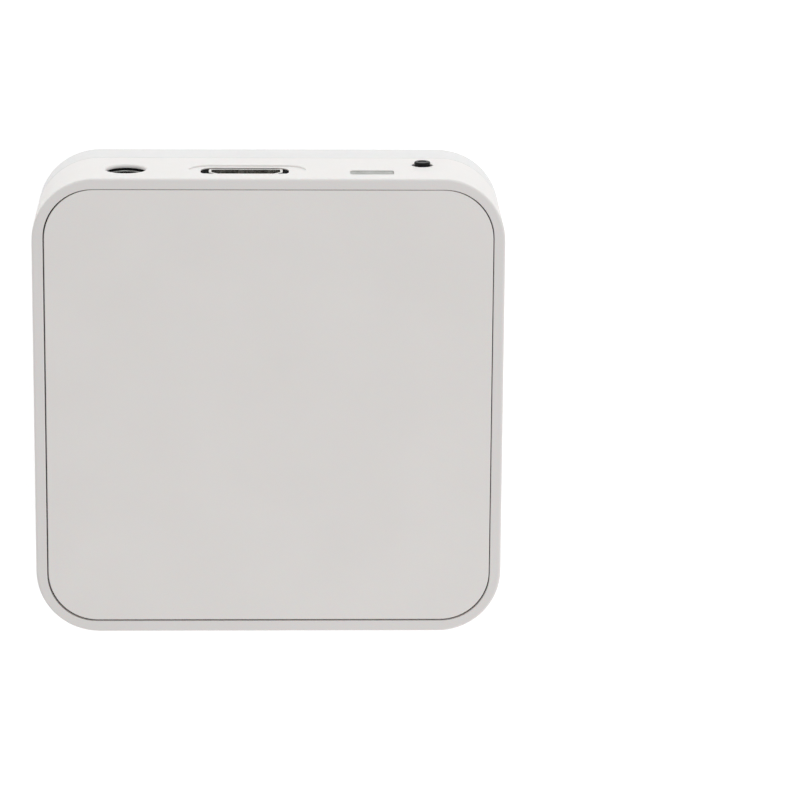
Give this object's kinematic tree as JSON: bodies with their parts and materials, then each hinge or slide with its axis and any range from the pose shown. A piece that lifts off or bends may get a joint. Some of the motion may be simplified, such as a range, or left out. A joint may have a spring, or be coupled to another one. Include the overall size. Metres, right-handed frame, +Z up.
{
  "type": "bluetooth audio receiver",
  "caption": "Square white case lying flat, with an inlaid panel, and an audio jack, micro-USB socket, status window and small push button in its rear wall.",
  "frame": {"origin": "under the middle of the case, on the surface its rubber feet stand on", "axes": "+X across the case, to the left when facing the connectors; +Y out of the wall with the connectors; +Z up, out of the inlaid panel"},
  "size_m": [0.048, 0.0484, 0.016],
  "materials": {
    "shell_plastic": "fine spark-eroded texture, white ABS",
    "panel_plastic": "satin white plastic",
    "black_adhesive": "matt black adhesive sheet",
    "foot_rubber": "soft grey rubber",
    "screw_steel": "nickel-plated steel",
    "board_laminate": "green solder mask",
    "module_laminate": "blue solder mask",
    "tin_plate": "tin-plated sheet",
    "chip_epoxy": "black moulded epoxy",
    "ceramic_body": "tan ceramic",
    "antenna_ceramic": "white ceramic",
    "resistor_body": "black glazed ceramic",
    "tantalum_body": "yellow moulded body",
    "ferrite": "dark ferrite",
    "led_resin": "clear resin",
    "connector_plastic": "black liquid-crystal polymer",
    "connector_nickel": "bright nickel plate",
    "contact_gold": "gold-flashed phosphor bronze",
    "light_guide": "translucent grey acrylic",
    "button_plastic": "black nylon",
    "cell_foil": "pouch foil",
    "foam_tape": "double-sided foam tape",
    "red_insulation": "red PVC",
    "black_insulation": "black PVC"
  },
  "bodies": {
    "case": {"top_panel": "panel_plastic", "panel_adhesive": "black_adhesive", "upper_shell": "shell_plastic", "base_cover": "shell_plastic", "rubber_feet": "foot_rubber", "case_screws": "screw_steel", "circuit_board": "board_laminate", "bluetooth_board": "module_laminate", "bluetooth_antenna": "antenna_ceramic", "shield_can": "tin_plate", "audio_codec": "chip_epoxy", "codec_pins": "tin_plate", "charger_chip": "chip_epoxy", "charger_pins": "tin_plate", "voltage_regulator": "chip_epoxy", "regulator_pins": "tin_plate", "crystal": "tin_plate", "power_inductor": "ferrite", "ceramic_capacitors": "ceramic_body", "chip_resistors": "resistor_body", "tantalum_capacitors": "tantalum_body", "status_led": "led_resin", "light_pipe": "light_guide", "jack_body": "connector_plastic", "jack_bushing": "connector_nickel", "jack_sleeve_spring": "contact_gold", "jack_ring_spring": "contact_gold", "jack_tip_spring": "contact_gold", "usb_shell": "connector_nickel", "usb_gasket": "connector_plastic", "usb_tongue": "connector_plastic", "usb_contacts": "contact_gold", "switch_body": "connector_plastic", "switch_cover": "tin_plate", "switch_dome": "tin_plate", "battery_cell": "cell_foil", "battery_pad": "foam_tape", "battery_lead_red": "red_insulation", "battery_lead_black": "black_insulation"},
    "button": {"power_button": "button_plastic"}
  },
  "joints": [
    {"name": "button_press", "type": "slide", "parent": "case", "child": "button", "axis": [0, -1, 0], "range_m": [0, 0.00025], "stiffness_N_per_m": 6400, "deforming": ["switch_dome"]}
  ]
}
